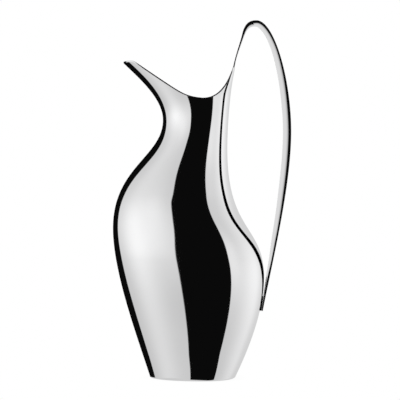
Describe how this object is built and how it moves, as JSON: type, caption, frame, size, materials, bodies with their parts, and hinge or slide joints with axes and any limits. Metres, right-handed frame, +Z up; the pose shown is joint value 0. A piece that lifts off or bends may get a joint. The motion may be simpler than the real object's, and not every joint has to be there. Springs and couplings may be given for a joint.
{
  "type": "water pitcher",
  "caption": "Tall polished metal water pitcher with a swelling oval belly, narrow neck, open lip spout and a high looped ribbon handle.",
  "frame": {"origin": "on the resting plane, midway along the pitcher's length from the front of the belly to the back of the handle, on its middle plane", "axes": "+Z up; -X towards the spout, +X towards the handle; +Y to the pitcher's right, across its width"},
  "size_m": [0.1644, 0.1178, 0.3299],
  "materials": {
    "polished_shell": "polished",
    "polished_handle": "polished",
    "satin_base": "satin",
    "braze": "satin"
  },
  "bodies": {
    "root": {"body_left_half": "polished_shell", "body_right_half": "polished_shell", "base_plate": "satin_base", "handle_ribbon": "polished_handle", "handle_foot_pad": "braze"}
  },
  "joints": []
}
